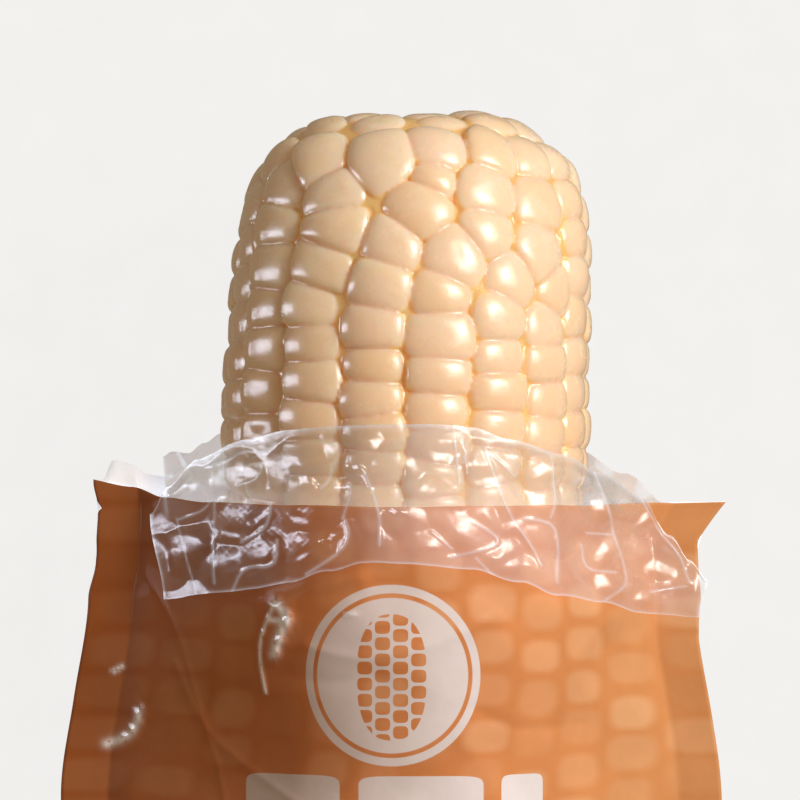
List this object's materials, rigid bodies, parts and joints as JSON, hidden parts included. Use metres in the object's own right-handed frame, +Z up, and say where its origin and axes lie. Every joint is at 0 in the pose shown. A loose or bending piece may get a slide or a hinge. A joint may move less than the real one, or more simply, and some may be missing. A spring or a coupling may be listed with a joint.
{
  "type": "cob of sweetcorn in an opened pack",
  "caption": "Peeled sweetcorn cob in a clear film bag, standing out of a torn-open printed pouch whose mouth the film folds over, lying on its back.",
  "frame": {"origin": "on the surface it lies on, under the middle of its bounding box", "axes": "+Y along the pack towards the blunt end of the cob, +X to the right of the shown side, +Z up, out of the shown side"},
  "size_m": [0.1078, 0.2547, 0.0589],
  "materials": {
    "sweetcorn": "waxy, moist kernels with soft highlights",
    "clear_film": "clear, glossy, creased film",
    "printed_film": "glossy printed laminate, orange outside and white inside"
  },
  "bodies": {
    "root": {"corn_cob": "sweetcorn", "inner_film_bag": "clear_film", "outer_pouch": "printed_film"}
  },
  "joints": []
}
